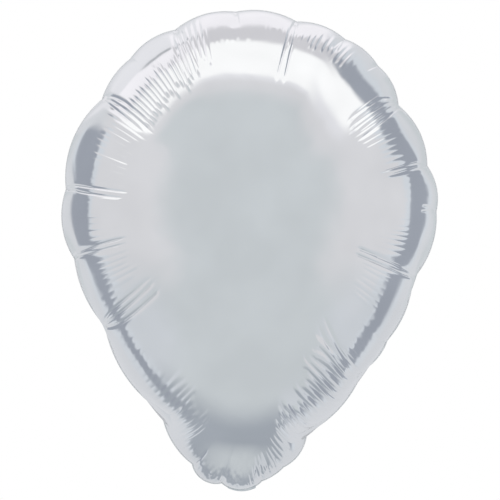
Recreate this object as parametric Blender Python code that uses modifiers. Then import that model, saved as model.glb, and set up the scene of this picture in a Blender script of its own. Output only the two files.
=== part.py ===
"""Silver foil party balloon, teardrop shaped and inflated, its filling tail folded up behind it.

Metres, +Z up. The heat seal lies in the XZ plane, the front foil faces -Y, and the origin is
the centre of lift. Each real piece of film is its own object. The real film is 0.04 mm thick,
so every wall here is a thicker stand-in whose outer face is the real one.
"""
import bpy
import bmesh
import math
from mathutils import Vector

MM = 0.001

# Envelope
FOIL_WALL = 0.0010
SEAL_THICKNESS = 0.0018
SEAL_WIDTH = 0.0035
RIM_GAP = 0.0005
BULGE = 0.0970
FULLEST_POINT = Vector((0.001, 0.0, -0.024))
RING_COUNT = 11
LONGEST_FACET = 9.5
LOBE_FADE = 7.0
SMOOTH_HARMONICS = 5

# Section of each foil from its fullest point to the rim, as exponents of a squared-off ellipse
FACE_EXPONENT_TOP = 3.2
FACE_EXPONENT_FOOT = 2.0
SIDE_EXPONENT_TOP = 1.5
SIDE_EXPONENT_FOOT = 2.65

# The neck: how much of the section's height goes there, and over what height that fades in
NECK_PINCH = 1.43
NECK_PINCH_TOP = -0.093
NECK_PINCH_SPAN = 0.209

# Lobes of the sealed edge, clockwise from the top as seen from the front, in millimetres:
# x and z of the notch where the lobe starts, and how far it swells past the straight line
# to the next notch
LOBES = (
    (38.1, 159.1, 3.8),
    (76.5, 145.1, 3.1),
    (101.9, 124.5, 3.6),
    (118.1, 93.3, 6.0),
    (140.8, 45.7, 3.9),
    (148.0, 9.7, 5.8),
    (129.4, -43.3, 4.3),
    (109.4, -91.7, 2.8),
    (90.3, -115.0, 6.2),
    (45.9, -164.5, 4.3),
    (27.7, -191.2, 1.3),
    (10.7, -202.1, 6.4),
    (-20.6, -203.6, 6.0),
    (-43.6, -188.7, 5.0),
    (-67.4, -147.8, 8.2),
    (-112.4, -80.4, 4.4),
    (-136.5, -27.3, 6.5),
    (-143.0, 27.4, 9.7),
    (-114.7, 97.9, 3.2),
    (-92.5, 129.8, 4.2),
    (-57.2, 152.6, 5.1),
    (-9.6, 166.7, 4.6),
)

# Tail: two films with a seal down each side and the valve film between them
TAIL_FILM = 0.0006
TAIL_GAP = 0.0003
TAIL_WIDTH = 0.022
TAIL_SEAL_WIDTH = 0.0035
TAIL_STRAIGHT_ROOT = 0.003
TAIL_BEND_RADIUS = 0.014
TAIL_BEND_ANGLE = math.radians(52.0)
TAIL_BEND_STEPS = 8
TAIL_STRAIGHT_END = 0.034
VALVE_SET_BACK = 0.003
NECK_CENTRE_X = -0.005
NECK_BOTTOM_Z = -0.2093

COLLECTION_NAME = "foil_balloon"


def clear_scene():
    for old in list(bpy.data.objects):
        bpy.data.objects.remove(old, do_unlink=True)


def metallised_film(name, colour, roughness, metallic):
    material = bpy.data.materials.new(name)
    material.use_nodes = True
    shader = material.node_tree.nodes["Principled BSDF"]
    shader.inputs["Base Color"].default_value = (*colour, 1.0)
    shader.inputs["Roughness"].default_value = roughness
    shader.inputs["Metallic"].default_value = metallic
    return material


def add_object(name, mesh, material, parent=None):
    piece = bpy.data.objects.new(name, mesh)
    mesh.materials.append(material)
    bpy.data.collections[COLLECTION_NAME].objects.link(piece)
    piece.parent = parent
    return piece


def lobed_rim():
    """Points of the sealed edge's outer line: an arc over each lobe."""
    points = []
    for index, (x, z, swell) in enumerate(LOBES):
        next_x, next_z, _ = LOBES[(index + 1) % len(LOBES)]
        start = Vector((x, 0.0, z))
        chord = Vector((next_x, 0.0, next_z)) - start
        outward = Vector((-chord.z, 0.0, chord.x)).normalized()
        radius = (chord.length ** 2 / 4.0 + swell ** 2) / (2.0 * swell)
        half_angle = math.asin(min(1.0, chord.length / (2.0 * radius)))
        steps = max(3, math.ceil(chord.length / LONGEST_FACET))
        for step in range(steps):
            share = step / steps
            angle = half_angle * (2.0 * share - 1.0)
            along = 0.5 + math.sin(angle) * radius / chord.length
            rise = swell - radius * (1.0 - math.cos(angle))
            points.append((start + chord * along + outward * rise) * MM)
    return points


def smooth_rim(rim):
    """The same edge with its lobes evened out, one point in each point's direction."""
    spokes = [point - FULLEST_POINT for point in rim]
    angles = [math.atan2(spoke.x, spoke.z) for spoke in spokes]
    samples = 360
    lengths = []
    for sample in range(samples):
        angle = 2.0 * math.pi * sample / samples - math.pi
        gaps = [abs((a - angle + math.pi) % (2.0 * math.pi) - math.pi) for a in angles]
        order = sorted(range(len(gaps)), key=gaps.__getitem__)[:2]
        total = gaps[order[0]] + gaps[order[1]]
        share = gaps[order[0]] / total if total else 0.0
        lengths.append(spokes[order[0]].length * (1.0 - share) + spokes[order[1]].length * share)
    waves = []
    for wave in range(SMOOTH_HARMONICS + 1):
        turns = [wave * (2.0 * math.pi * s / samples - math.pi) for s in range(samples)]
        scale = (1.0 if wave == 0 else 2.0) / samples
        cosine = scale * sum(r * math.cos(t) for r, t in zip(lengths, turns))
        sine = scale * sum(r * math.sin(t) for r, t in zip(lengths, turns))
        waves.append((wave, cosine, sine))
    smooth = []
    for angle in angles:
        length = sum(c * math.cos(w * angle) + s * math.sin(w * angle) for w, c, s in waves)
        smooth.append(FULLEST_POINT + Vector((math.sin(angle), 0.0, math.cos(angle))) * length)
    return smooth


def neck_share(z):
    """Share of the section's height that is left at z."""
    t = min(max((NECK_PINCH_TOP - z) / NECK_PINCH_SPAN, 0.0), 1.0)
    return 1.0 - NECK_PINCH * t * t * (3.0 - 2.0 * t)


def foil(name, side, rim, smooth, material):
    """One dished sheet of film. side is -1 for the front foil and +1 for the back one."""
    rim_height = SEAL_THICKNESS / 2.0 + RIM_GAP
    mesh = bpy.data.meshes.new(name)
    shape = bmesh.new()
    pole = shape.verts.new(FULLEST_POINT + Vector((0.0, side * BULGE, 0.0)))
    rings = []
    for ring in range(1, RING_COUNT + 1):
        turn = 0.5 * math.pi * ring / RING_COUNT
        row = []
        for edge, even in zip(rim, smooth):
            foot = 0.5 - 0.5 * (edge - FULLEST_POINT).normalized().z
            face_exponent = FACE_EXPONENT_TOP + (FACE_EXPONENT_FOOT - FACE_EXPONENT_TOP) * foot
            side_exponent = SIDE_EXPONENT_TOP + (SIDE_EXPONENT_FOOT - SIDE_EXPONENT_TOP) * foot
            reach = math.sin(turn) ** (2.0 / face_exponent)
            height = max(math.cos(turn), 0.0) ** (2.0 / side_exponent)
            line = even.lerp(edge, reach ** LOBE_FADE) - FULLEST_POINT
            inset = line.normalized() * SEAL_WIDTH * 0.35
            place = FULLEST_POINT + (line - inset) * reach
            bulge = (BULGE - rim_height) * height * neck_share(place.z)
            place.y = side * (rim_height + bulge)
            row.append(shape.verts.new(place))
        rings.append(row)
    count = len(rim)
    for column in range(count):
        following = (column + 1) % count
        faces = [(pole, rings[0][column], rings[0][following])]
        for inner, outer in zip(rings, rings[1:]):
            faces.append((inner[column], outer[column], outer[following], inner[following]))
        for face in faces:
            shape.faces.new(face if side < 0 else tuple(reversed(face)))
    shape.to_mesh(mesh)
    shape.free()
    mesh.shade_smooth()
    piece = add_object(name, mesh, material)
    wall = piece.modifiers.new("film_wall", "SOLIDIFY")
    wall.thickness = FOIL_WALL
    wall.offset = -1.0
    return piece


def edge_seal(rim, material):
    """The flat welded band that joins the two foils all the way round."""
    outline = bpy.data.curves.new("edge_seal", "CURVE")
    outline.dimensions = "2D"
    outline.fill_mode = "BOTH"
    outline.extrude = SEAL_THICKNESS / 2.0
    for inset in (0.0, SEAL_WIDTH):
        spline = outline.splines.new("POLY")
        spline.points.add(len(rim) - 1)
        for point, edge in zip(spline.points, rim):
            spoke = edge - FULLEST_POINT
            place = edge - spoke.normalized() * inset
            point.co = (place.x, place.z, 0.0, 1.0)
        spline.use_cyclic_u = True
    piece = add_object("edge_seal", outline, material)
    piece.rotation_euler = (math.radians(90.0), 0.0, 0.0)
    return piece


def tail_path():
    """Middle line of the folded tail from the fold axis, as (y, z, slope) in the axis's frame."""
    stations = [(0.0, 0.0, 0.0), (TAIL_STRAIGHT_ROOT, 0.0, 0.0)]
    for step in range(1, TAIL_BEND_STEPS + 1):
        slope = TAIL_BEND_ANGLE * step / TAIL_BEND_STEPS
        y = TAIL_STRAIGHT_ROOT + TAIL_BEND_RADIUS * math.sin(slope)
        z = TAIL_BEND_RADIUS * (1.0 - math.cos(slope))
        stations.append((y, z, slope))
    y, z, slope = stations[-1]
    end_y = y + TAIL_STRAIGHT_END * math.cos(slope)
    end_z = z + TAIL_STRAIGHT_END * math.sin(slope)
    stations.append((end_y, end_z, slope))
    return stations


def tail_strip(name, x_from, x_to, layer, set_back, material, axis):
    """A strip of film along the tail. layer counts up from the film that faces down."""
    offset = (layer - 1) * (TAIL_FILM + TAIL_GAP)
    stations = tail_path()
    rows = []
    for index, (y, z, slope) in enumerate(stations):
        if index == len(stations) - 1:
            y -= set_back * math.cos(slope)
            z -= set_back * math.sin(slope)
        place_y = y - offset * math.sin(slope)
        place_z = z + offset * math.cos(slope)
        rows.append(((x_from, place_y, place_z), (x_to, place_y, place_z)))
    vertices = [corner for row in rows for corner in row]
    faces = [(2 * i, 2 * i + 1, 2 * i + 3, 2 * i + 2) for i in range(len(rows) - 1)]
    mesh = bpy.data.meshes.new(name)
    mesh.from_pydata(vertices, [], faces)
    piece = add_object(name, mesh, material, axis)
    wall = piece.modifiers.new("film_wall", "SOLIDIFY")
    wall.thickness = TAIL_FILM
    wall.offset = 0.0
    wall.use_even_offset = True
    return piece


def tail(silver, clear):
    """The filling tail, hinged on the fold at the foot of the neck."""
    stack_half = 1.5 * TAIL_FILM + TAIL_GAP
    axis = bpy.data.objects.new("tail_fold_axis", None)
    axis.location = (NECK_CENTRE_X, 0.0, NECK_BOTTOM_Z - TAIL_GAP - stack_half)
    bpy.data.collections[COLLECTION_NAME].objects.link(axis)
    edge = TAIL_WIDTH / 2.0
    inside = edge - TAIL_SEAL_WIDTH
    valve_edge = inside - TAIL_GAP
    tail_strip("tail_front_film", -edge, edge, 0, 0.0, silver, axis)
    tail_strip("tail_seal_left", -edge, -inside, 1, 0.0, silver, axis)
    tail_strip("tail_seal_right", inside, edge, 1, 0.0, silver, axis)
    tail_strip("valve_film", -valve_edge, valve_edge, 1, VALVE_SET_BACK, clear, axis)
    tail_strip("tail_back_film", -edge, edge, 2, 0.0, silver, axis)


def build():
    clear_scene()
    collection = bpy.data.collections.new(COLLECTION_NAME)
    bpy.context.scene.collection.children.link(collection)
    front_silver = metallised_film("front_foil_silver", (0.80, 0.82, 0.84), 0.10, 1.0)
    back_silver = metallised_film("back_foil_silver", (0.80, 0.82, 0.84), 0.10, 1.0)
    seal_silver = metallised_film("edge_seal_silver", (0.70, 0.72, 0.75), 0.25, 1.0)
    tail_silver = metallised_film("tail_silver", (0.76, 0.78, 0.81), 0.18, 1.0)
    valve_clear = metallised_film("valve_film_milky", (0.85, 0.86, 0.87), 0.35, 0.0)
    rim = lobed_rim()
    smooth = smooth_rim(rim)
    foil("front_foil", -1, rim, smooth, front_silver)
    foil("back_foil", 1, rim, smooth, back_silver)
    edge_seal(rim, seal_silver)
    tail(tail_silver, valve_clear)


build()
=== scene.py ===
"""Looks of a silver foil party balloon: two mirror-bright films welded along a lobed edge.

The two sheets are cut flat, welded and blown up in a small simulation that draws their rim to the
lobed edge. They are then pleated and creased, and the weld band and the filling tail are added.
The scene is in metres, +Z up and front towards -Y. Values in millimetres say so.
"""
import math

import bpy
import numpy as np
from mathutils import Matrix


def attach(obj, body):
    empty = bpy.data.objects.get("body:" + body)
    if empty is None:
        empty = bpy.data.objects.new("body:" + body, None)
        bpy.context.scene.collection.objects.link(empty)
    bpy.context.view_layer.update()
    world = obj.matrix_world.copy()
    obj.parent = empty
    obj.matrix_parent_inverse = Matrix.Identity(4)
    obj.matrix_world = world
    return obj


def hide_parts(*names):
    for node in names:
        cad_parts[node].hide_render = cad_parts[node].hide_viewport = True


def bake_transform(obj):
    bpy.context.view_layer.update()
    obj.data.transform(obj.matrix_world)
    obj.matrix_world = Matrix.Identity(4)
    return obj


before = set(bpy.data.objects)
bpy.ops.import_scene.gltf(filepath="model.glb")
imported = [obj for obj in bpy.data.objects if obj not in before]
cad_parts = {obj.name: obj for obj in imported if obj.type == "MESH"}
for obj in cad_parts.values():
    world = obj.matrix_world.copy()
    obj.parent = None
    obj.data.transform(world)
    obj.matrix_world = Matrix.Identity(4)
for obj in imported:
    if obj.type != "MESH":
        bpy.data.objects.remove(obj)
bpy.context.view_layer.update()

MM = 0.001
SINGLE = np.float32

# Flat cut of each sheet: an egg whose half width follows a short series in height
FLAT_WIDTH = 0.393
FLAT_HEIGHT = 0.463
EGG_SERIES = (0.985, 0.166, -0.223, 0.024, 0.19)
FLAT_CENTRE = np.array((0.0, 0.030))

# Edge of the blown-up balloon, the same lobes as the solids have, in millimetres clockwise from
# the top. Columns: x and z of the notch, how far the lobe swells past the line to the next notch,
# and on the front sheet how long the notch's creases are, how many there are and how deep
LOBES = (
    (38.1, 159.1, 3.8, 56, 2, 1.1),
    (76.5, 145.1, 3.1, 16, 2, 0.5),
    (101.9, 124.5, 3.6, 12, 1, 0.4),
    (118.1, 93.3, 6.0, 54, 4, 1.0),
    (140.8, 45.7, 3.9, 44, 2, 1.0),
    (148.0, 9.7, 5.8, 16, 2, 0.7),
    (129.4, -43.3, 4.3, 66, 2, 1.7),
    (109.4, -91.7, 2.8, 14, 1, 0.4),
    (90.3, -115.0, 6.2, 52, 2, 1.3),
    (45.9, -164.5, 4.3, 12, 1, 0.6),
    (27.7, -191.2, 1.3, 12, 1, 0.6),
    (10.7, -202.1, 6.4, 14, 2, 0.8),
    (-20.6, -203.6, 6.0, 14, 2, 0.8),
    (-43.6, -188.7, 5.0, 16, 1, 0.6),
    (-67.4, -147.8, 8.2, 18, 1, 0.8),
    (-112.4, -80.4, 4.4, 62, 3, 1.6),
    (-136.5, -27.3, 6.5, 54, 2, 1.5),
    (-143.0, 27.4, 9.7, 52, 2, 1.3),
    (-114.7, 97.9, 3.2, 52, 3, 1.0),
    (-92.5, 129.8, 4.2, 10, 1, 0.4),
    (-57.2, 152.6, 5.1, 44, 4, 0.9),
    (-9.6, 166.7, 4.6, 14, 2, 0.8),
)
RIM_CENTRE = np.array((0.001, 0.012))
FLANGE_WIDTH = 0.0004
# How far the edge bows forward or back in the middle of a lobe, in millimetres
LOBE_BOW = (0.8, 2.4)
BOW_SEED = 5

# Simulation grid with a small hole in its middle, how its two sheets lie at the start, and its
# stages of gas pressure, steps and pull towards the seam
COARSE_COLUMNS = 96
COARSE_ROWS = 12
POLE_HOLE = 0.03
START_DROP = 0.02
START_BULGE = 0.02
START_CURVE = 0.6
BLOW_STAGES = ((10.0, 400), (2.0, 400), (0.5, 400))
DRAW_STAGES = ((0.5, 300, 0.05), (0.2, 300, 0.10))
DRAW_LEVEL = 0.02
FINE_STAGES = ((0.10, 250), (0.03, 200))
FINE_PULL = 0.1
TIME_STEP = 0.001
DAMPING = 0.99
IRONING = 0.1
SMALLEST_AREA = 0.02
# Ring of a sheet that the smooth bowl over its middle is fitted to, and where it takes over, as
# shares of the way from the rim to the middle
BOWL_RING = (0.70, 0.90)
BOWL_BLEND = (0.72, 0.90)

# Pleats, in millimetres from the rim as the front view shows them: the common kind, then groups
# that differ from it. Columns: from and to in degrees clockwise from the top about PLEAT_CENTRE,
# where the pleats begin and end, their height, a power from 0.6 for sharp valleys to 2 for waves,
# how strongly they bend clockwise, in pleats for each square millimetre past LEAN_START, and how
# far across each pleat its crest lies. Widths and heights vary by shares, beginnings and ends by
# millimetres. PLEAT_STEPS are the mesh's columns across one pleat
PLEAT_WIDTH = 0.0054
PLEAT_WIDTH_VARIES = (0.75, 1.25)
PLEAT_BEGIN_VARIES = (-3.0, 3.0)
PLEAT_END_VARIES = (-5.0, 4.0)
PLEAT_HEIGHT_VARIES = (0.7, 1.2)
PLEAT_FADE_IN = (-5.0, 4.0)
PLEAT_FADE_OUT = (-3.0, 1.0)
PLEAT_STEPS = np.array((0.0, 0.09, 0.20, 0.34, 0.5, 0.66, 0.80, 0.91))
LEAN_START = 14.0
LEAN_BLEND_PLEATS = 6
COMMON_PLEAT = (12.0, 25.0, 0.18, 1.0, 0.0, 0.5)
PLEAT_GROUPS = (
    (5, 34, 10, 22, 0.45, 1.0, 0.0, 0.5),
    (34, 50, 12, 20, 0.04, 1.0, 0.0, 0.5),
    (50, 58, 14, 46, 0.60, 0.7, 0.0, 0.5),
    (58, 74, 22, 44, 0.22, 0.8, 0.0, 0.5),
    (86, 110, 23, 46, 0.15, 0.8, 0.0, 0.5),
    (110, 128, 23, 46, 0.16, 0.8, 0.0, 0.5),
    (143, 151, 12, 49, 1.7, 1.0, 0.0016, 0.4),
    (151, 157, 12, 40, 1.7, 1.0, 0.0016, 0.4),
    (157, 162, 12, 33, 1.7, 1.0, 0.0016, 0.4),
    (162, 167, 12, 28, 1.5, 1.0, 0.0016, 0.4),
    (186, 198, 9, 15, 0.35, 2.0, 0.0, 0.5),
    (198, 212, 9, 36, 0.50, 1.0, -0.0025, 0.5),
    (240, 262, 22, 46, 0.18, 0.8, 0.0, 0.5),
    (262, 292, 22, 50, 0.20, 0.9, 0.0, 0.5),
    (292, 304, 22, 50, 0.13, 0.9, 0.0, 0.5),
    (308, 337, 27, 50, 1.25, 0.6, 0.0, 0.5),
    (337, 347, 8, 42, 1.1, 0.7, 0.0, 0.5),
)
PLEAT_CENTRE = np.array((0.0016, 0.007))

# Creases that run in from the notches, in millimetres: how far apart they end up and the distance
# in which they part, how wide and how rounded their valleys are, how far to either side of a notch
# they can lie, where they would all meet, and where they are in full. Their drift is a slope, their
# lengths and depths vary by shares, and they fade out past CREASE_FADE of their length
CREASE_GAP = (4.0, 6.0)
CREASE_PARTING = 7.0
CREASE_WIDTH = (0.6, 0.9)
CREASE_ROUNDING = 0.1
CREASE_ZONE = 40.0
CREASE_MEETING = 160.0
CREASE_IN_FULL = 2.0
CREASE_FADE = 0.8
CREASE_DRIFT = (-0.02, 0.02)
CREASE_LENGTH_VARIES = (0.85, 1.1)
CREASE_DEPTH_VARIES = (0.9, 1.2)

# Creases of the back sheet, in millimetres: their lengths, how many at a notch, and their depths
BACK_CREASE_LENGTHS = (15.0, 50.0)
BACK_CREASE_COUNTS = (1, 3)
BACK_CREASE_DEPTHS = (0.5, 1.0)
BACK_CREASE_SEED = 41

# Crinkles along the foot's rim, in millimetres: how many waves cross, how long these are for each
# radian, their height and the mean that is taken off, between which heights they fade out upwards,
# and how far from the rim they begin and fade out
CRINKLE_COUNT = 8
CRINKLE_LENGTHS = (0.8, 1.9)
CRINKLE_HEIGHT = 0.34
CRINKLE_MEAN = 0.64
CRINKLE_TOP = (-194.0, -182.0)
CRINKLE_BEGIN = (0.5, 3.0)
CRINKLE_END = (9.0, 17.0)

# Fine mesh of a sheet: shares of the way from the rim to the middle, at which its rings have every
# column, then every second, fourth and eighth one, and the rings of its lining
PLEATED_ROWS = np.linspace(0.0, 0.54, 43)
HALF_ROWS = np.linspace(0.56, 0.64, 5)
QUARTER_ROWS = np.linspace(0.67, 0.80, 6)
EIGHTH_ROWS = np.linspace(0.84, 0.965, 5)
LINING_ROWS = np.linspace(0.08, 0.965, 16)
LINING_DEPTH = 0.003
# How far in each column is rounded off, how steeply it leaves the seam, and over which shares of
# its way it bends from square to the rim towards the middle
ROUND_SHARE = 0.22
RIM_TILT = math.radians(80.0)
SPOKE_BEND = (0.20, 0.80)
FRONT_SEED = 11
BACK_SEED = 23

# Weld band round the edge, with crimp ribs pressed across it
WELD_BAND_WIDTH = 0.0017
WELD_BAND_THICKNESS = 0.0006
RIB_SPACING = 0.0016
RIB_WIDTH = 0.0004
RIB_HEIGHT = 0.00064
RIB_LENGTH_SHARE = 0.86
WELD_LINE_POINTS = 1500

# Filling tail, folded up behind the foot, with the sizes that its solids have
TAIL_WIDTH = 0.022
TAIL_SEAL_WIDTH = 0.0035
TAIL_STRAIGHT_ROOT = 0.003
TAIL_BEND_RADIUS = 0.014
TAIL_BEND_ANGLE = math.radians(52.0)
TAIL_STRAIGHT_END = 0.034
TAIL_AXIS_Z = -0.2108
VALVE_SET_BACK = 0.003
NECK_CENTRE_X = -0.005
NECK_LOBE_RADIUS = 0.0234
# Its films: thickness, the width up to which a strip needs few columns, gap between them, how far
# they bulge along the middle and where that begins, how far they gape at the mouth and how long
# that is, and their crinkles, with radians for each metre down the tail, at a slant and across it
TAIL_FILM = 0.00015
TAIL_WELD = 0.0003
VALVE_FILM = 0.0002
NARROW_STRIP = 0.01
TAIL_GAP = 0.00022
TAIL_BULGE = 0.0002
TAIL_BULGE_BEGIN = (0.003, 0.012)
TAIL_GAPE = 0.0012
TAIL_MOUTH = 0.016
TAIL_CRINKLE = 0.00012
TAIL_CRINKLE_BEGIN = (0.004, 0.014)
TAIL_CRINKLE_WAVES = (420.0, 90.0, 300.0)
# Its root: where its rows lie, how far behind the weld band it hangs and how high it begins there,
# over which stretch it turns out of the band, and over which ones it then comes down and flattens
TAIL_ROOT = (-0.0016, 0.0032)
TAIL_PAST_ROOT = 0.0042
TAIL_ROOT_BEHIND = 0.0002
TAIL_ROOT_TOP = 0.0008
TAIL_ROOT_TURN = (-0.0006, 0.0024)
TAIL_ROOT_RISE = 0.0012
TAIL_COMES_DOWN = (0.002, 0.025)
TAIL_FLATTENS = (0.001, 0.022)

# Camera straight at the front: what it aims at in x and z, and the width that it takes in there
CAMERA_AIM = (0.00157, -0.0204)
CAMERA_DISTANCE = 2.2
FRAME_WIDTH = 0.3925
SENSOR_WIDTH = 36.0
FLOOR_Z = -2.1
FLOOR_RADIUS = 6.0

# Studio room as the film mirrors it. Shades of its sides, then the sides themselves. The first one
# goes all round outside the curtain, and each later one lies over those before it.
# Columns: heading and half width in degrees clockwise from the top, feather of the borders, and
# stops of the angle from the camera, in degrees, with the shade there
SHADES = {
    "curtain": "#C8CDD0",
    "wall": "#D7D7DA",
    "low_wall": "#CCD0D5",
    "glow": "#D2D7DD",
    "screen": "#9DA2AC",
    "beyond": "#D3D5D9",
    "lamp": "#FFFFFF",
    "ceiling": "#F4F2F6",
    "batten": "#D0CFD3",
    "corner": "#E4E4E8",
    "frame": "#A4A7AC",
    "ground": "#A3A9B1",
}
ROOM = (
    (0, 180, 0, "96 wall, 101 glow, 106 glow, 109 screen, 133 screen, 136 glow, 145 beyond"),
    (272, 9, 5, "21 curtain, 38 wall, 96 wall, 101 glow, 107 screen, 137 screen, 142 beyond"),
    (180, 68, 12, "60 curtain, 85 low_wall, 106 low_wall, 111 glow, 114 screen, 129 screen, 133 glow, "
     "145 beyond"),
    (226, 17, 7, "60 curtain, 85 low_wall, 108 low_wall, 115 glow, 118 screen, 126 screen, 129 glow, "
     "145 beyond"),
    (180, 42, 9, "88 curtain, 124 ground, 132 ground, 142 low_wall, 165 beyond"),
    (148.5, 11, 3, "80 curtain, 106 low_wall, 145 beyond"),
    (306, 9.5, 1.5, "25 curtain, 46 wall, 104 wall, 125 beyond"),
    (327.5, 24, 2, "50 curtain, 58 wall, 66 lamp, 86 lamp, 100 ceiling, 116 ceiling, 120 corner, "
     "145 corner, 165 beyond"),
    (326, 8, 3, "50 curtain, 58 wall, 66 lamp, 86 lamp, 100 ceiling, 114.5 ceiling, 116 frame, "
     "118 frame, 120 corner, 145 corner, 165 beyond"),
    (39, 10, 3, "40 curtain, 62 wall, 74 corner, 84 lamp, 107 lamp, 112 screen, 130 screen, 135 glow, "
     "155 beyond"),
    (6, 25, 6, "44 curtain, 59 wall, 64 corner, 66.5 lamp, 97 lamp, 103 batten, 115 batten, "
     "122 ceiling, 141 ceiling, 165 beyond"),
)
# How far the curtain behind the camera reaches to the sides, as the sine of the angle, and where
# the sides stand nearer the camera: heading, half width, feather and how much nearer, in degrees
CURTAIN_EDGE = (0.36, 0.62)
NEARER = ((180, 80, 8, 22.0), (52, 16, 8, 18.0))
ROOM_STRENGTH = 1.05


def ease(value, low, high):
    """0 below low, 1 above high, and a smooth step between."""
    share = np.clip((value - low) / (high - low), 0.0, 1.0)
    return share * share * (3.0 - 2.0 * share)


def lobed_edge(steps=60):
    """Points of the welded edge in (x, z), an arc over each lobe, starting at the first notch."""
    points = []
    for index, (x, z, swell, *_) in enumerate(LOBES):
        next_x, next_z = LOBES[(index + 1) % len(LOBES)][:2]
        start = np.array((x, z))
        chord = np.array((next_x, next_z)) - start
        length = np.hypot(*chord)
        outward = np.array((-chord[1], chord[0])) / length
        radius = (length**2 / 4.0 + swell**2) / (2.0 * swell)
        half_angle = math.asin(min(1.0, length / (2.0 * radius)))
        for step in range(steps):
            angle = half_angle * (2.0 * step / steps - 1.0)
            along = 0.5 + math.sin(angle) * radius / length
            rise = swell - radius * (1.0 - math.cos(angle))
            points.append(start + chord * along + outward * rise)
    return np.array(points) * MM


def edge_line(inset):
    """The lobed edge moved inwards, as a dense closed line clockwise from the top."""
    spokes = lobed_edge() - RIM_CENTRE
    length = np.linalg.norm(spokes, axis=1)[:, None]
    line = RIM_CENTRE + spokes * (1.0 - inset / length)
    turn = np.arctan2(spokes[:, 0], spokes[:, 1]) % (2.0 * math.pi)
    return line[np.argsort(turn)]


def egg_line(steps=8000):
    """Outline of the flat cut in (x, z), clockwise from the top."""
    turn = np.linspace(0.0, 2.0 * math.pi, steps, endpoint=False)
    height = np.cos(turn)
    width = sum(term * height**power for power, term in enumerate(EGG_SERIES))
    return np.stack((FLAT_WIDTH / 2.0 * np.sin(turn) * width, FLAT_HEIGHT / 2.0 * height), 1)


def walk(line):
    """The closed line with its first point again at the end, and the distance to each point."""
    closed = np.vstack((line, line[:1]))
    return closed, np.concatenate(([0.0], np.cumsum(np.hypot(*np.diff(closed, axis=0).T))))


def points_at(line, fractions):
    """Points at fractions of a closed line's length."""
    closed, distance = walk(line)
    wanted = (fractions % 1.0) * distance[-1]
    return np.stack([np.interp(wanted, distance, closed[:, axis]) for axis in (0, 1)], 1)


seam_line = edge_line(FLANGE_WIDTH)
flat_line = egg_line()
seam_length = walk(seam_line)[1][-1]


def find_notches():
    """Fractions of the seam's length at which the notches lie."""
    distance = walk(seam_line)[1]
    places = []
    for x, z, *_ in LOBES:
        nearest = np.argmin(np.hypot(seam_line[:, 0] - x * MM, seam_line[:, 1] - z * MM))
        places.append(distance[nearest] / distance[-1])
    return np.array(places)


notches = find_notches()
lobe_spans = (np.roll(notches, -1) - notches) % 1.0
bow_random = np.random.default_rng(BOW_SEED)
lobe_bow = bow_random.uniform(*LOBE_BOW, len(LOBES)) * bow_random.choice((-1.0, 1.0), len(LOBES))


def lobe_place(fractions):
    """Which lobe each fraction of the seam lies in, and how far along it."""
    lobe = np.searchsorted(notches, fractions % 1.0, side="right") - 1
    return lobe, ((fractions - notches[lobe]) % 1.0) / lobe_spans[lobe]


def on_edge(line, fractions):
    """Points in space on the seam or the edge, which bows forward or back in each lobe."""
    flat = points_at(line, fractions)
    lobe, place = lobe_place(fractions)
    bow = lobe_bow[lobe] * MM * np.sin(math.pi * place) ** 2
    return np.stack((flat[:, 0], bow, flat[:, 1]), 1)


def flat_grid(columns, rows):
    """Flat cut of both sheets as rings, from the front's middle over the rim to the back's."""
    rim = points_at(flat_line, np.arange(columns) / columns)
    share = np.abs(np.arange(2 * rows + 1) - rows) / rows
    inward = (share * (0.5 + 0.5 * share) * (1.0 - POLE_HOLE))[:, None, None]
    return (FLAT_CENTRE + (rim[None] - FLAT_CENTRE) * (1.0 - inward)).astype(SINGLE)


def links(rows):
    """Both ends of every link of the grid, in batches that share no point."""
    whole = slice(None)
    first = slice(0, 1)
    last = slice(-1, None)
    batches = [
        ((whole, slice(0, None, 2)), (whole, slice(1, None, 2))),
        ((whole, slice(1, -1, 2)), (whole, slice(2, None, 2))),
        ((whole, last), (whole, first)),
    ]
    for start in (0, 1):
        near = slice(start, rows - 1, 2)
        far = slice(start + 1, rows, 2)
        batches.append(((near, whole), (far, whole)))
        for one, two in ((near, far), (far, near)):
            batches.append(((one, slice(0, -1)), (two, slice(1, None))))
            batches.append(((one, last), (two, first)))
    return batches


def iron(sheet, strength):
    """Take the finest ripples out of one sheet's rows, and leave its longer waves."""
    ripple = np.roll(sheet, 2, 1) - 4.0 * np.roll(sheet, 1, 1) + 6.0 * sheet
    ripple += np.roll(sheet, -2, 1) - 4.0 * np.roll(sheet, -1, 1)
    sheet -= SINGLE(strength * 0.25) * ripple


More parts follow.
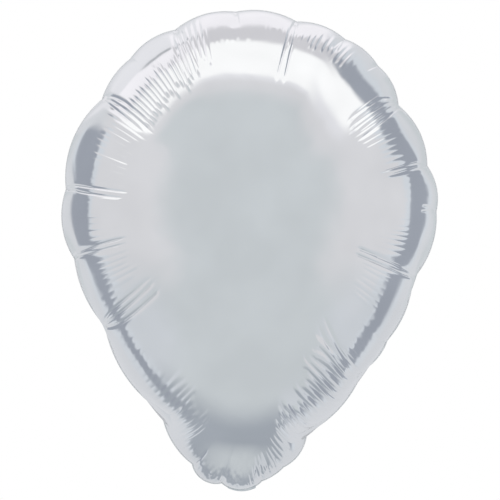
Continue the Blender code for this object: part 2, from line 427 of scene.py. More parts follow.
def settle(points, flat, steps, pressure, seam=None, pull=0.0, level=0.0):
    """Gas pressure against links that may slacken but not stretch. A seam draws the rim to it."""
    rows = flat.shape[0]
    middle = rows // 2
    along = np.linalg.norm(np.roll(flat, -1, 1) - np.roll(flat, 1, 1), axis=2) / 2.0
    gaps = np.linalg.norm(np.diff(flat, axis=0), axis=2)
    across = np.zeros_like(along)
    across[:-1] += gaps / 2.0
    across[1:] += gaps / 2.0
    area = along * across
    light = (1.0 / np.maximum(area, SMALLEST_AREA * area.max()))[..., None]
    batches = []
    for one, two in links(rows):
        length = np.linalg.norm(flat[one] - flat[two], axis=2)[..., None]
        batches.append((one, two, length, light[one], light[two], light[one] + light[two]))
    speed = np.zeros_like(points)
    across_step = np.empty_like(points)
    for _ in range(steps):
        along_step = np.roll(points, -1, 1) - np.roll(points, 1, 1)
        across_step[1:-1] = points[2:] - points[:-2]
        across_step[0] = points[1] - points[0]
        across_step[-1] = points[-1] - points[-2]
        push = np.cross(along_step, across_step) * SINGLE(0.25 * pressure)
        speed = (speed + push * light * SINGLE(TIME_STEP)) * SINGLE(DAMPING)
        before = points.copy()
        points += speed * SINGLE(TIME_STEP)
        for one, two, length, light_one, light_two, light_both in batches:
            apart = points[one] - points[two]
            distance = np.sqrt(np.einsum("ijk,ijk->ij", apart, apart))[..., None] + SINGLE(1e-9)
            apart *= np.maximum(distance - length, SINGLE(0.0)) / (distance * light_both)
            points[one] -= light_one * apart
            points[two] += light_two * apart
        if seam is not None:
            points[middle, :, 0] += (seam[:, 0] - points[middle, :, 0]) * SINGLE(pull)
            points[middle, :, 2] += (seam[:, 2] - points[middle, :, 2]) * SINGLE(pull)
            points[middle, :, 1] += (seam[:, 1] - points[middle, :, 1]) * SINGLE(level)
            iron(points[:middle], IRONING)
            iron(points[middle + 1 :], IRONING)
        speed = (points - before) / SINGLE(TIME_STEP)
    return points


def finer(grid):
    """Twice the columns and rows, read off smooth curves, with the rim kept as a fold."""
    outer = np.roll(grid, 1, 1) + np.roll(grid, -2, 1)
    wide = np.empty((grid.shape[0], grid.shape[1] * 2, 3), grid.dtype)
    wide[:, ::2] = grid
    wide[:, 1::2] = (9.0 * (grid + np.roll(grid, -1, 1)) - outer) / 16.0
    between = (wide[:-1] + wide[1:]) / 2.0
    fold = wide.shape[0] // 2
    beside_fold = between[fold - 1 : fold + 1].copy()
    between[1:-1] = (9.0 * (wide[1:-2] + wide[2:-1]) - (wide[:-3] + wide[3:])) / 16.0
    between[fold - 1 : fold + 1] = beside_fold
    tall = np.empty((wide.shape[0] * 2 - 1, wide.shape[1], 3), grid.dtype)
    tall[::2] = wide
    tall[1::2] = between
    return tall


def blow_up():
    """Both sheets, welded at the rim and blown up: a grid with the seam in its middle row."""
    columns, rows = COARSE_COLUMNS, COARSE_ROWS
    flat = flat_grid(columns, rows)
    row = np.arange(2 * rows + 1) - rows
    points = np.zeros((2 * rows + 1, columns, 3), SINGLE)
    points[..., 0] = flat[..., 0]
    points[..., 2] = flat[..., 1] - START_DROP
    points[..., 1] = (np.sign(row) * (np.abs(row) / rows) ** START_CURVE * START_BULGE)[:, None]
    for pressure, steps in BLOW_STAGES:
        points = settle(points, flat, steps, pressure)
    seam = on_edge(seam_line, np.arange(columns) / columns).astype(SINGLE)
    points += seam.mean(0) - points[rows].mean(0)
    for pressure, steps, pull in DRAW_STAGES:
        points = settle(points, flat, steps, pressure, seam, pull, DRAW_LEVEL)
    for pressure, steps in FINE_STAGES:
        columns, rows = columns * 2, rows * 2
        flat = flat_grid(columns, rows)
        seam = on_edge(seam_line, np.arange(columns) / columns).astype(SINGLE)
        points = settle(finer(points), flat, steps, pressure, seam, FINE_PULL, FINE_PULL)
    points = points.astype(float)
    inward = np.abs(np.arange(2 * rows + 1) - rows) / rows
    for sheet, share in ((points[:rows], inward[:rows]), (points[rows + 1 :], inward[rows + 1 :])):
        even_middle(sheet, share)
    return points


def even_middle(sheet, share):
    """Lay the middle of a sheet on one smooth bowl, because the grid leaves a small hole there."""
    x, z = sheet[..., 0], sheet[..., 2] - RIM_CENTRE[1]
    bowl = np.stack((np.ones_like(x), x, z, x * x, x * z, z * z, (x * x + z * z) ** 2), -1)
    around = (share > BOWL_RING[0]) & (share < BOWL_RING[1])
    fit = np.linalg.lstsq(bowl[around].reshape(-1, 7), sheet[around][..., 1].ravel(), rcond=None)[0]
    blend = ease(share, *BOWL_BLEND)[:, None]
    sheet[..., 1] += (bowl @ fit - sheet[..., 1]) * blend


def read_smoothly(sheet, column, row):
    """Points of a sheet between its grid points, with rows counted from the rim inwards."""
    count = sheet.shape[1]
    before = 2.0 * sheet[:1] - sheet[1:2]
    after = 2.0 * sheet[-1:] - sheet[-2:-1]
    padded = np.concatenate((before, sheet, after, after))
    row = np.clip(row, 0.0, sheet.shape[0] - 1.0)
    first_row = np.minimum(row.astype(int), sheet.shape[0] - 2)
    first_column = np.floor(column).astype(int)
    total = 0.0
    row_share = spline_shares(row - first_row)
    column_share = spline_shares(column - first_column)
    for down in range(4):
        for across in range(4):
            point = padded[first_row + down, (first_column + across - 1) % count]
            total = total + point * (row_share[down] * column_share[across])[..., None]
    return total


def spline_shares(place):
    """Shares of the four nearest points in a smooth curve."""
    left = 1.0 - place
    return (
        left**3 / 6.0,
        (3.0 * place**3 - 6.0 * place**2 + 4.0) / 6.0,
        (3.0 * left**3 - 6.0 * left**2 + 4.0) / 6.0,
        place**3 / 6.0,
    )


def read_sheet(sheet, fractions, shares):
    """Points of a blown-up sheet on lines that leave the rim squarely and end at the middle."""
    rim = points_at(flat_line, fractions)
    ahead = points_at(flat_line, fractions + 0.0005) - points_at(flat_line, fractions - 0.0005)
    square = np.stack((ahead[:, 1], -ahead[:, 0]), 1) / np.linalg.norm(ahead, axis=1)[:, None]
    spoke = FLAT_CENTRE - rim
    square *= np.linalg.norm(spoke, axis=1)[:, None]
    share = shares[:, None, None]
    bend = ease(share, *SPOKE_BEND)
    place = rim + share * (square * (1.0 - bend) + spoke * bend) - FLAT_CENTRE
    count = sheet.shape[1]
    outline = points_at(flat_line, np.arange(count) / count) - FLAT_CENTRE
    turn = np.unwrap(np.arctan2(outline[:, 0], outline[:, 1]))
    reach = np.hypot(outline[:, 0], outline[:, 1])
    angle = (np.arctan2(place[..., 0], place[..., 1]) - turn[0]) % (2.0 * math.pi) + turn[0]
    turn = np.append(turn, turn[0] + 2.0 * math.pi)
    column = np.interp(angle, turn, np.arange(count + 1))
    edge_reach = np.interp(column, np.arange(count + 1), np.append(reach, reach[0]))
    inward = 1.0 - np.hypot(place[..., 0], place[..., 1]) / edge_reach
    # The grid's rings lie closer together near the rim, as flat_grid lays them
    root = np.sqrt(np.maximum(1.0 + 8.0 * inward / (1.0 - POLE_HOLE), 1.0))
    row = 0.5 * (root - 1.0) * (sheet.shape[0] - 1)
    points = read_smoothly(sheet, column, row)
    if shares[0] == 0.0:
        points[0] = on_edge(seam_line, fractions)
    return points


def cut_pleats(random):
    """Columns of the fine mesh, the same few to each pleat, as fractions of the seam."""
    counts = np.maximum(1, np.round(lobe_spans * seam_length / (2.0 * PLEAT_WIDTH))).astype(int) * 2
    while counts.sum() % 8:
        counts[np.argmax(lobe_spans / counts)] += 2
    fractions = []
    for start, span, count in zip(notches, lobe_spans, counts):
        edges = np.concatenate(([0.0], np.cumsum(random.uniform(*PLEAT_WIDTH_VARIES, count))))
        steps = (np.arange(count)[:, None] + PLEAT_STEPS).ravel()
        fractions.append(start + span * np.interp(steps, np.arange(count + 1), edges / edges[-1]))
    return np.concatenate(fractions)


def headings(fractions):
    """Headings of points of the seam, in degrees clockwise from the top."""
    spoke = points_at(seam_line, fractions) - PLEAT_CENTRE
    return np.degrees(np.arctan2(spoke[:, 0], spoke[:, 1])) % 360.0


def pleat_heights(fractions, from_rim, random):
    """Height of the pleats over a sheet, in metres. from_rim is in millimetres."""
    wide = len(PLEAT_STEPS)
    pleats = len(fractions) // wide
    turn = headings(fractions[wide // 2 :: wide])
    kind = np.tile(np.array(COMMON_PLEAT), (pleats, 1))
    for low, high, *group in PLEAT_GROUPS:
        kind[(turn >= low) & (turn < high)] = group
    lean = np.tile(np.repeat(kind[:, 4], wide), 3)
    window = LEAN_BLEND_PLEATS * wide
    lean = np.convolve(lean, np.ones(window) / window, "same")[len(fractions) : -len(fractions)]
    kind[:, 0] += random.uniform(*PLEAT_BEGIN_VARIES, pleats)
    kind[:, 1] += random.uniform(*PLEAT_END_VARIES, pleats)
    kind[:, 2] *= random.uniform(*PLEAT_HEIGHT_VARIES, pleats)
    place = (np.arange(pleats)[:, None] + PLEAT_STEPS).ravel()
    place = place - lean * np.maximum(from_rim - LEAN_START, 0.0) ** 2
    own = kind[np.floor(place).astype(int) % pleats]
    begin, end, height, power, _, crest = np.moveaxis(own, -1, 0)
    across = place % 1.0
    climb = np.where(across < crest, across / crest, (1.0 - across) / (1.0 - crest))
    ridge = np.sin(math.pi / 2.0 * climb) ** power
    fade = ease(from_rim - begin, *PLEAT_FADE_IN) * (1.0 - ease(from_rim - end, *PLEAT_FADE_OUT))
    return height * MM * ridge * fade


def crease_depths(fractions, from_rim, creases, random):
    """Depth of the creases that run in from the notches, in metres."""
    depth = np.zeros_like(from_rim)
    for notch, (length, count, deep) in zip(notches, creases):
        across = ((fractions - notch + 0.5) % 1.0 - 0.5) * seam_length / MM
        near = np.abs(across) < CREASE_ZONE
        inward = from_rim[:, near]
        spread = (np.arange(count) - (count - 1) / 2.0) * random.uniform(*CREASE_GAP)
        for side_step in spread:
            reach = length * random.uniform(*CREASE_LENGTH_VARIES)
            drift = random.uniform(*CREASE_DRIFT)
            line = side_step * (1.0 - np.exp(-inward / CREASE_PARTING)) + drift * inward
            aside = across[near] * (1.0 - inward / CREASE_MEETING) - line
            from_valley = np.sqrt(aside**2 + CREASE_ROUNDING**2) - CREASE_ROUNDING
            valley = np.exp(-from_valley / random.uniform(*CREASE_WIDTH))
            fade = 1.0 - ease(inward, CREASE_FADE * reach, reach)
            fade *= ease(inward, 0.0, CREASE_IN_FULL)
            depth[:, near] += random.uniform(*CREASE_DEPTH_VARIES) * deep * MM * valley * fade
    return depth


def foot_crinkles(points, from_rim, random):
    """Heights of small crinkles along the foot's lower rim, where the film is gathered."""
    x, z = points[..., 0] / MM, points[..., 2] / MM
    relief = np.zeros_like(x)
    for _ in range(CRINKLE_COUNT):
        heading = random.uniform(0.0, math.pi)
        wave = (x * math.cos(heading) + z * math.sin(heading)) / random.uniform(*CRINKLE_LENGTHS)
        relief += np.abs(np.sin(wave + random.uniform(0.0, math.pi))) - CRINKLE_MEAN
    low = 1.0 - ease(z, *CRINKLE_TOP)
    fade = ease(from_rim, *CRINKLE_BEGIN) * (1.0 - ease(from_rim, *CRINKLE_END))
    return relief * CRINKLE_HEIGHT * MM * low * fade


def round_rim(points, foot, shares, reach, side):
    """Let each column leave the seam steeply and meet the blown-up shape a little further in."""
    join = int(np.searchsorted(shares, ROUND_SHARE))
    step = (shares[join + 1] - shares[join - 1]) * reach
    tangent = (points[join + 1] - points[join - 1]) / step[:, None]
    inward = points[join] - foot
    inward[:, 1] = 0.0
    inward /= np.linalg.norm(inward, axis=1)[:, None]
    leave = inward * math.cos(RIM_TILT) + np.array((0.0, side * math.sin(RIM_TILT), 0.0))
    length = (shares[join] * reach)[:, None]
    for row in range(join):
        t = shares[row] / shares[join]
        ends = foot * (2.0 * t**3 - 3.0 * t**2 + 1.0) + points[join] * (3.0 * t**2 - 2.0 * t**3)
        bends = leave * (t**3 - 2.0 * t**2 + t) + tangent * (t**3 - t**2)
        points[row] = ends + bends * length


def outward_of(points, side):
    """Unit normals of rings of points, away from the balloon's inside."""
    along = np.roll(points, -1, 1) - np.roll(points, 1, 1)
    across = np.gradient(points, axis=0)
    normal = np.cross(along, across) * side
    return normal / np.maximum(np.linalg.norm(normal, axis=2), 1e-12)[..., None]


class Shell:
    """Vertices and faces of a closed shell, sewn from rings of points."""

    def __init__(self, side):
        self.side = side
        self.points = []
        self.faces = []
        self.count = 0

    def ring(self, points):
        start = self.count
        self.points.append(points)
        self.count += len(points)
        return np.arange(start, self.count)

    def face(self, corners, inside):
        turned = (self.side > 0) != inside
        self.faces.append(corners[::-1] if turned else corners)

    def sew(self, outer, inner, inside=False):
        """Join two rings. The inner one has as many points, half as many, or only one."""
        outer = [int(v) for v in outer]
        inner = [int(v) for v in inner]
        total = len(outer)
        if len(inner) == 1:
            for k in range(total):
                self.face((outer[k], inner[0], outer[(k + 1) % total]), inside)
        elif len(inner) == total:
            for k in range(total):
                n = (k + 1) % total
                self.face((outer[k], inner[k], inner[n], outer[n]), inside)
        else:
            for k in range(total // 2):
                a, b, c = outer[2 * k], outer[2 * k + 1], outer[(2 * k + 2) % total]
                p, q = inner[k], inner[(k + 1) % (total // 2)]
                self.face((a, p, b), inside)
                self.face((b, p, q), inside)
                self.face((b, q, c), inside)

    def mesh(self, name):
        mesh = bpy.data.meshes.new(name)
        mesh.from_pydata(np.vstack(self.points).tolist(), [], self.faces)
        mesh.shade_smooth()
        return mesh


def sew_lining(shell, rim, foot, inside, middle):
    """Close a shell with rings inside it, from its rim at the foot of the columns to the middle."""
    first_inside = np.repeat(inside[0], 2, axis=0)
    first_inside[1::2] = (inside[0] + np.roll(inside[0], -1, 0)) / 2.0
    lining = [rim, shell.ring((foot[::2] + first_inside) / 2.0)]
    lining.extend(shell.ring(row) for row in inside)
    lining.append(shell.ring(middle[None]))
    for outer, inner in zip(lining, lining[1:]):
        shell.sew(outer, inner, inside=True)


def foil_mesh(name, sheet, side, creases, seed):
    """One pleated, creased sheet with a lining behind it, so that its body is closed."""
    random = np.random.default_rng(seed)
    fractions = cut_pleats(random)
    shell = Shell(side)
    foot = on_edge(seam_line, fractions)
    rings = []
    for shares, step in ((PLEATED_ROWS, 1), (HALF_ROWS, 2), (QUARTER_ROWS, 4), (EIGHTH_ROWS, 8)):
        points = read_sheet(sheet, fractions[::step], shares)
        if step == 1:
            reach = np.linalg.norm(FLAT_CENTRE - points_at(flat_line, fractions), axis=1)
            round_rim(points, foot, shares, reach, side)
            from_rim = np.hypot(points[..., 0] - foot[:, 0], points[..., 2] - foot[:, 2]) / MM
            lift = pleat_heights(fractions, from_rim, random)
            lift -= crease_depths(fractions, from_rim, creases, random)
            lift += foot_crinkles(points, from_rim, random)
            points[1:] += (outward_of(points, side) * lift[..., None])[1:]
        rings.extend(shell.ring(row) for row in points)
    middle = read_sheet(sheet, fractions[::8], EIGHTH_ROWS[-1:])[0].mean(0)
    rings.append(shell.ring(middle[None]))
    for outer, inner in zip(rings, rings[1:]):
        shell.sew(outer, inner)
    inside = read_sheet(sheet, fractions[::4], LINING_ROWS)
    inside -= outward_of(inside, side) * LINING_DEPTH
    sew_lining(shell, rings[0], foot, inside, middle - np.array((0.0, side * LINING_DEPTH, 0.0)))
    return shell.mesh(name)


def weld_line(count):
    """A closed wire of points along the middle of the weld band."""
    points = on_edge(edge_line(WELD_BAND_WIDTH / 2.0), np.arange(count) / count)
    mesh = bpy.data.meshes.new("weld_line")
    wire = [(k, (k + 1) % count) for k in range(count)]
    mesh.from_pydata(points.tolist(), wire, [])
    return mesh


def add_node(tree, kind, inputs=None, stops=None, **settings):
    """A node with its settings, its inputs set or linked by name or number, and its colour stops."""
    node = tree.nodes.new(kind)
    for key, value in settings.items():
        setattr(node, key, value)
    for key, value in (inputs or {}).items():
        if isinstance(value, bpy.types.NodeSocket):
            tree.links.new(value, node.inputs[key])
        else:
            node.inputs[key].default_value = value
    if stops:
        elements = node.color_ramp.elements
        while len(elements) < len(stops):
            elements.new(0.5)
        for element, (position, colour) in zip(elements, stops):
            element.position = position
            element.color = linear(colour)
    return node


def work_out(tree, kind, operation, *values):
    """The result of one step of arithmetic, of kind Math for numbers or VectorMath for directions."""
    node = add_node(tree, "ShaderNode" + kind, dict(enumerate(values)), operation=operation)
    return node.outputs["Value" if kind == "Math" or operation == "DOT_PRODUCT" else "Vector"]


def linear(colour):
    """An sRGB hex colour as linear red, green, blue and a full alpha."""
    parts = [int(colour[k : k + 2], 16) / 255.0 for k in (1, 3, 5)]
    parts = [v / 12.92 if v <= 0.04045 else ((v + 0.055) / 1.055) ** 2.4 for v in parts]
    return (*parts, 1.0)


def weld_band_tree():
    """A thin oval ribbon along a wire, with fine crimp ribs pressed across it."""
    tree = bpy.data.node_groups.new("weld_band", "GeometryNodeTree")
    tree.is_modifier = True
    tree.interface.new_socket("Wire", in_out="INPUT", socket_type="NodeSocketGeometry")
    for name in ("Width", "Thickness", "Rib Spacing", "Rib Width", "Rib Height"):
        tree.interface.new_socket(name, in_out="INPUT", socket_type="NodeSocketFloat")
    tree.interface.new_socket("Material", in_out="INPUT", socket_type="NodeSocketMaterial")
    tree.interface.new_socket("Band", in_out="OUTPUT", socket_type="NodeSocketGeometry")
    given = add_node(tree, "NodeGroupInput").outputs
    curve = add_node(tree, "GeometryNodeMeshToCurve", {"Mesh": given["Wire"]}).outputs["Curve"]
    upright = add_node(
        tree, "GeometryNodeSetCurveNormal", {"Curve": curve, "Normal": (0.0, 1.0, 0.0)}, mode="FREE"
    ).outputs["Curve"]
    circle = add_node(
        tree, "GeometryNodeCurvePrimitiveCircle", {"Resolution": 12, "Radius": 0.5}
    ).outputs["Curve"]
    section = add_node(
        tree, "ShaderNodeCombineXYZ", {"X": given["Thickness"], "Y": given["Width"], "Z": 1.0}
    ).outputs["Vector"]
    profile = add_node(
        tree, "GeometryNodeTransform", {"Geometry": circle, "Scale": section}
    ).outputs["Geometry"]
    ribbon = add_node(
        tree, "GeometryNodeCurveToMesh", {"Curve": upright, "Profile Curve": profile, "Fill Caps": True}
    ).outputs["Mesh"]
    places = add_node(
        tree, "GeometryNodeResampleCurve", {"Curve": upright, "Length": given["Rib Spacing"]}, mode="LENGTH"
    ).outputs["Curve"]
    rib_sides = {"X": given["Rib Width"], "Y": given["Rib Height"], "Z": given["Width"]}
    rib_size = add_node(tree, "ShaderNodeCombineXYZ", rib_sides).outputs["Vector"]
    narrower = work_out(tree, "VectorMath", "MULTIPLY", rib_size, (1.0, 1.0, RIB_LENGTH_SHARE))
    rib = add_node(tree, "GeometryNodeMeshCube", {"Size": narrower}).outputs["Mesh"]
    heading = add_node(tree, "GeometryNodeInputTangent").outputs["Tangent"]
    turn = add_node(
        tree, "FunctionNodeAlignRotationToVector", {"Vector": heading}, axis="X", pivot_axis="Y"
    ).outputs["Rotation"]
    ribs = add_node(
        tree, "GeometryNodeInstanceOnPoints", {"Points": places, "Instance": rib, "Rotation": turn}
    ).outputs["Instances"]
    both = add_node(tree, "GeometryNodeJoinGeometry")
    tree.links.new(ribbon, both.inputs[0])
    tree.links.new(ribs, both.inputs[0])
    real = add_node(tree, "GeometryNodeRealizeInstances", {"Geometry": both.outputs["Geometry"]})
    coated = {"Geometry": real.outputs["Geometry"], "Material": given["Material"]}
    finished = add_node(tree, "GeometryNodeSetMaterial", coated)
    add_node(tree, "NodeGroupOutput", {"Band": finished.outputs["Geometry"]})
    return tree


def grow(mesh, name, tree, **sizes):
    """The plain mesh that a tree makes of a wire or surface."""
    source = bpy.data.objects.new(name + "_source", mesh)
    bpy.context.scene.collection.objects.link(source)
    modifier = source.modifiers.new("grow", "NODES")
    modifier.node_group = tree
    for socket in tree.interface.items_tree:
        label = socket.name.lower().replace(" ", "_")
        if socket.in_out == "INPUT" and label in sizes:
            modifier[socket.identifier] = sizes[label]
    depsgraph = bpy.context.evaluated_depsgraph_get()
    made = bpy.data.meshes.new_from_object(source.evaluated_get(depsgraph))
    made.name = name
    bpy.data.objects.remove(source)
    return made


def tail_line(distance):
    """Middle line of the folded tail as (y, z, slope) at distances from its fold, in metres."""
    bent = np.clip(distance - TAIL_STRAIGHT_ROOT, 0.0, TAIL_BEND_RADIUS * TAIL_BEND_ANGLE)
    slope = bent / TAIL_BEND_RADIUS
    straight = np.maximum(distance - TAIL_STRAIGHT_ROOT - TAIL_BEND_RADIUS * TAIL_BEND_ANGLE, 0.0)
    y = np.minimum(distance, TAIL_STRAIGHT_ROOT) + TAIL_BEND_RADIUS * np.sin(slope)
    z = TAIL_BEND_RADIUS * (1.0 - np.cos(slope)) + straight * np.sin(slope)
    return y + straight * np.cos(slope), z, slope


def tail_film(name, x_from, x_to, layer, set_back, thickness):
    """A film of the tail from its root behind the weld band to the mouth. layer is -1, 0 or 1."""
    length = TAIL_STRAIGHT_ROOT + TAIL_BEND_RADIUS * TAIL_BEND_ANGLE + TAIL_STRAIGHT_END - set_back
    distance = np.concatenate((np.linspace(*TAIL_ROOT, 17), np.linspace(TAIL_PAST_ROOT, length, 64)))
    x = np.linspace(x_from, x_to, 25 if x_to - x_from > NARROW_STRIP else 5)
    distance, x = np.meshgrid(distance, x, indexing="ij")
    run = np.maximum(distance, 0.0)
    y, z, slope = tail_line(run)
    # The root hangs behind the weld band and turns back over a small round fold
    root = 1.0 - ease(distance, *TAIL_ROOT_TURN)
    y = y * (1.0 - root) + root * TAIL_ROOT_BEHIND
    rise = TAIL_ROOT_RISE * (1.0 - ease(run, *TAIL_COMES_DOWN))
    z = z + root * np.maximum(0.0, TAIL_ROOT_TOP - distance) + rise
    z = z + x**2 / (2.0 * NECK_LOBE_RADIUS) * (1.0 - ease(run, *TAIL_FLATTENS))
    slope = slope * (1.0 - root) + root * -0.5 * math.pi
    middle = np.clip(1.0 - (x / (TAIL_WIDTH / 2.0 - TAIL_SEAL_WIDTH)) ** 2, 0.0, 1.0)
    mouth = ease(distance, length - TAIL_MOUTH, length)
    bulge = TAIL_BULGE * ease(run, *TAIL_BULGE_BEGIN) + TAIL_GAPE * mouth
    offset = layer * (TAIL_GAP + middle * bulge)
    down, slant, across = TAIL_CRINKLE_WAVES
    wave = np.sin(distance * down + x * slant) * np.sin(x * across + 1.0)
    offset = offset + wave * ease(run, *TAIL_CRINKLE_BEGIN) * TAIL_CRINKLE
    y = y - offset * np.sin(slope)
    z = z + offset * np.cos(slope)
    points = np.stack((x + NECK_CENTRE_X, y, z + TAIL_AXIS_Z), -1)
    return film_mesh(name, points, thickness)


def film_mesh(name, points, thickness):
    """A closed thin slab about a grid of points."""
    rows, columns = points.shape[:2]
    normal = np.cross(np.gradient(points, axis=1), np.gradient(points, axis=0))
    normal *= 0.5 * thickness / np.linalg.norm(normal, axis=2)[..., None]
    both = np.concatenate(((points + normal).reshape(-1, 3), (points - normal).reshape(-1, 3)))
    number = np.arange(rows * columns).reshape(rows, columns)
    under = number + rows * columns
    faces = []
    for grid, flip in ((number, False), (under, True)):
        quads = np.stack((grid[:-1, :-1], grid[1:, :-1], grid[1:, 1:], grid[:-1, 1:]), -1)
        quads = quads.reshape(-1, 4)
        faces.extend((quads[:, ::-1] if not flip else quads).tolist())
    edge = np.concatenate((number[0], number[1:, -1], number[-1, -2::-1], number[-2:0:-1, 0]))
    for one, two in zip(edge.tolist(), np.roll(edge, -1).tolist()):
        faces.append((one, two, two + rows * columns, one + rows * columns))
    mesh = bpy.data.meshes.new(name)
    mesh.from_pydata(both.tolist(), [], faces)
    mesh.shade_smooth()
    return mesh


def film_look(name, tints, patch, haze, grain, wave, relief, metallic=1.0, stretch=(1.0, 1.0, 1.0)):
    """A film whose tint, haze and relief drift in soft patches, all sizes in metres.

    patch, grain and wave are how large its patches of tint, haze and relief are. stretch above 1
    draws them narrower that way.
    """
    material = bpy.data.materials.new(name)
    material.use_nodes = True
    tree = material.node_tree
    shader = tree.nodes["Principled BSDF"]
    shader.inputs["Metallic"].default_value = metallic
    place = add_node(tree, "ShaderNodeTexCoord").outputs["Object"]
    drawn = work_out(tree, "VectorMath", "MULTIPLY", place, stretch)

    def patches(size, detail):
        return add_node(
            tree,
            "ShaderNodeTexNoise",
            {"Vector": drawn, "Scale": 1.0 / size, "Detail": detail, "Roughness": 0.5},
        ).outputs[0]

    tint = add_node(
        tree, "ShaderNodeValToRGB", {0: patches(patch, 2.0)}, ((0.35, tints[0]), (0.65, tints[1]))
    )
    tree.links.new(tint.outputs[0], shader.inputs["Base Color"])
    low, high = haze
    rough = add_node(
        tree,
        "ShaderNodeMapRange",
        {"Value": patches(grain, 3.0), "From Min": 0.3, "From Max": 0.7, "To Min": low, "To Max": high},
    ).outputs[0]
    tree.links.new(rough, shader.inputs["Roughness"])
    bump = add_node(
        tree, "ShaderNodeBump", {"Strength": 1.0, "Distance": relief, "Height": patches(wave, 1.0)}
    ).outputs[0]
    tree.links.new(bump, shader.inputs["Normal"])
    return material


def studio():
    """White room: a softbox overhead, light walls with dark screens before them, a grey ground."""
    world = bpy.data.worlds.new("soft_studio")
    bpy.context.scene.world = world
    world.use_nodes = True
    tree = world.node_tree
    tree.nodes.clear()
    direction = add_node(tree, "ShaderNodeTexCoord").outputs["Generated"]
    toward = work_out(tree, "VectorMath", "DOT_PRODUCT", direction, (0.0, -1.0, 0.0))
    angle = work_out(tree, "Math", "ARCCOSINE", toward)
    across = work_out(tree, "VectorMath", "MULTIPLY", direction, (1.0, 0.0, 1.0))
    around = work_out(tree, "VectorMath", "NORMALIZE", across)

    def smooth_step(value, low, high):
        """0 below low, 1 above high, and a smooth step between."""
        return add_node(
            tree,
            "ShaderNodeMapRange",
            {"Value": value, "From Min": low, "From Max": high},
            interpolation_type="SMOOTHSTEP",
        ).outputs[0]

    def within(heading, half_width, feather):
        """1 inside a side of the room and 0 outside it, with soft borders."""
        wide = math.cos(math.radians(half_width + feather))
        narrow = math.cos(math.radians(half_width - feather))
        middle = (math.sin(math.radians(heading)), 0.0, math.cos(math.radians(heading)))
        return smooth_step(work_out(tree, "VectorMath", "DOT_PRODUCT", around, middle), wide, narrow)

    for heading, half_width, feather, degrees in NEARER:
        side = within(heading, half_width, feather)
        angle = work_out(tree, "Math", "MULTIPLY_ADD", side, math.radians(degrees), angle)
    turn = work_out(tree, "Math", "DIVIDE", angle, math.pi)
    x = add_node(tree, "ShaderNodeSeparateXYZ", {0: direction}).outputs["X"]
    beside_curtain = smooth_step(work_out(tree, "Math", "ABSOLUTE", x), *CURTAIN_EDGE)
    room = None
    for heading, half_width, feather, stops in ROOM:
        stops = [stop.split() for stop in stops.split(", ")]
        stops = [(float(degrees) / 180.0, SHADES[shade]) for degrees, shade in stops]
        ramp = add_node(tree, "ShaderNodeValToRGB", {0: turn}, stops)
        ramp.color_ramp.interpolation = "EASE"
        side = beside_curtain if room is None else within(heading, half_width, feather)
        under = linear(SHADES["curtain"]) if room is None else room
        room = add_node(
            tree, "ShaderNodeMix", {0: side, 6: under, 7: ramp.outputs[0]}, data_type="RGBA"
        ).outputs[2]
    lit = add_node(tree, "ShaderNodeBackground", {"Color": room, "Strength": ROOM_STRENGTH}).outputs[0]
    backdrop = add_node(tree, "ShaderNodeBackground", {"Color": linear("#FFFFFF")}).outputs[0]
    seen = add_node(tree, "ShaderNodeLightPath").outputs["Is Camera Ray"]
    shown = add_node(tree, "ShaderNodeMixShader", {0: seen, 1: lit, 2: backdrop}).outputs[0]
    add_node(tree, "ShaderNodeOutputWorld", {0: shown})


def floor():
    """Pale floor well below the balloon, out of the front view."""
    steps = 96
    turn = np.arange(steps) / steps * 2.0 * math.pi
    rim = np.stack((np.cos(turn), np.sin(turn)), 1) * FLOOR_RADIUS
    points = np.column_stack((rim, np.full(steps, FLOOR_Z)))
    mesh = bpy.data.meshes.new("floor")
    mesh.from_pydata(points.tolist(), [], [tuple(range(steps))])
    piece = bpy.data.objects.new("floor", mesh)
    bpy.context.scene.collection.objects.link(piece)
    paper = bpy.data.materials.new("matt_white_paper")
    paper.use_nodes = True
    shader = paper.node_tree.nodes["Principled BSDF"]
    shader.inputs["Base Color"].default_value = linear("#F2F2F1")
    shader.inputs["Roughness"].default_value = 0.8
    mesh.materials.append(paper)
    piece.visible_glossy = False


def camera():
    """Level view of the front that fills the frame as the photo does."""
    lens = bpy.data.cameras.new("camera")
    lens.sensor_width = SENSOR_WIDTH
    lens.lens = SENSOR_WIDTH * CAMERA_DISTANCE / FRAME_WIDTH
    eye = bpy.data.objects.new("camera", lens)
    eye.location = (CAMERA_AIM[0], -CAMERA_DISTANCE, CAMERA_AIM[1])
    eye.rotation_euler = (math.radians(90.0), 0.0, 0.0)
    bpy.context.scene.collection.objects.link(eye)
    bpy.context.scene.camera = eye


def show(mesh, material=None):
    """Show a finished mesh as a piece."""
    if material:
        mesh.materials.clear()
        mesh.materials.append(material)
    piece = bpy.data.objects.new(mesh.name, mesh)
    bpy.context.scene.collection.objects.link(piece)
    return piece


studio()
floor()
camera()
bpy.context.scene.view_settings.view_transform = "Standard"

# Nylon film with a coat of aluminium from a vacuum chamber, blown tight: a mirror, clouded a little
# where the coat is thin, with soft waves of 15 mm that bend what it mirrors
film = film_look(
    "metallised_nylon_film",
    tints=("#F1F2F3", "#F7F8F9"),
    patch=0.05,
    haze=(0.07, 0.12),
    grain=0.022,
    wave=0.015,
    relief=0.00012,
)
# The same film melted to its twin by a hot bar: whiter and duller, with the bar's grain pressed in.
# The real grain is 0.2 mm, too fine to see, so it is drawn at 0.6 mm
band = film_look(
    "heat_sealed_film",
    tints=("#F6F6F7", "#FDFDFD"),
    patch=0.006,
    haze=(0.24, 0.38),
    grain=0.003,
    wave=0.0006,
    relief=0.00003,
)
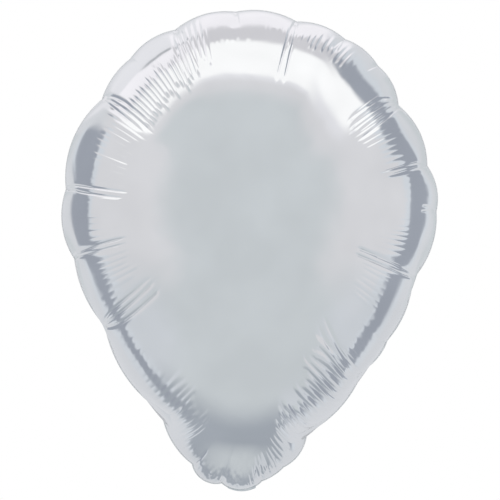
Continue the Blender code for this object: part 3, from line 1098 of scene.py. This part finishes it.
# The same film with no gas behind it: still a mirror, but limp, with long crinkles down the tail
tail_silver = film_look(
    "limp_metallised_film",
    tints=("#DFE3E6", "#EEF0F2"),
    patch=0.012,
    haze=(0.10, 0.22),
    grain=0.006,
    wave=0.003,
    relief=0.00035,
    stretch=(1.6, 0.5, 0.5),
)
# Blown polyethylene film of the valve: milky, waxy and clouded, with fine draw lines along it
milky = film_look(
    "milky_polyethylene_film",
    tints=("#DCE0E3", "#EFF1F2"),
    patch=0.004,
    haze=(0.32, 0.48),
    grain=0.002,
    wave=0.0012,
    relief=0.00012,
    metallic=0.0,
    stretch=(2.5, 0.4, 0.4),
)

blown = blow_up()
half = blown.shape[0] // 2
back_random = np.random.default_rng(BACK_CREASE_SEED)
front_creases = [row[3:] for row in LOBES]
back_creases = [
    (
        back_random.uniform(*BACK_CREASE_LENGTHS),
        back_random.integers(*BACK_CREASE_COUNTS, endpoint=True),
        back_random.uniform(*BACK_CREASE_DEPTHS),
    )
    for _ in LOBES
]
front_sheet = blown[: half + 1][::-1]
back_sheet = blown[half:]
front = show(foil_mesh("front_sheet", front_sheet, -1, front_creases, FRONT_SEED), film)
back = show(foil_mesh("back_sheet", back_sheet, 1, back_creases, BACK_SEED), film)
weld = show(
    grow(
        weld_line(WELD_LINE_POINTS),
        "weld_band",
        weld_band_tree(),
        width=WELD_BAND_WIDTH,
        thickness=WELD_BAND_THICKNESS,
        rib_spacing=RIB_SPACING,
        rib_width=RIB_WIDTH,
        rib_height=RIB_HEIGHT,
        material=band,
    )
)
for piece, node, finish in (
    (front, "front_foil", "foil_silver"),
    (back, "back_foil", "foil_silver"),
    (weld, "edge_seal", "seal_silver"),
):
    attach(piece, "envelope")
    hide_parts(node)

edge = TAIL_WIDTH / 2.0
inner = edge - TAIL_SEAL_WIDTH
for name, node, x_from, x_to, layer, set_back, thickness, material, finish in (
    ("tail_front_sheet", "tail_front_film", -edge, edge, -1, 0.0, TAIL_FILM, tail_silver, "tail_silver"),
    ("tail_back_sheet", "tail_back_film", -edge, edge, 1, 0.0, TAIL_FILM, tail_silver, "tail_silver"),
    ("tail_left_weld", "tail_seal_left", -edge, -inner, 0, 0.0, TAIL_WELD, band, "tail_silver"),
    ("tail_right_weld", "tail_seal_right", inner, edge, 0, 0.0, TAIL_WELD, band, "tail_silver"),
    ("valve_sleeve", "valve_film", -inner, inner, 0, VALVE_SET_BACK, VALVE_FILM, milky, "valve_film"),
):
    piece = show(tail_film(name, x_from, x_to, layer, set_back, thickness), material)
    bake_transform(piece)
    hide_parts(node)
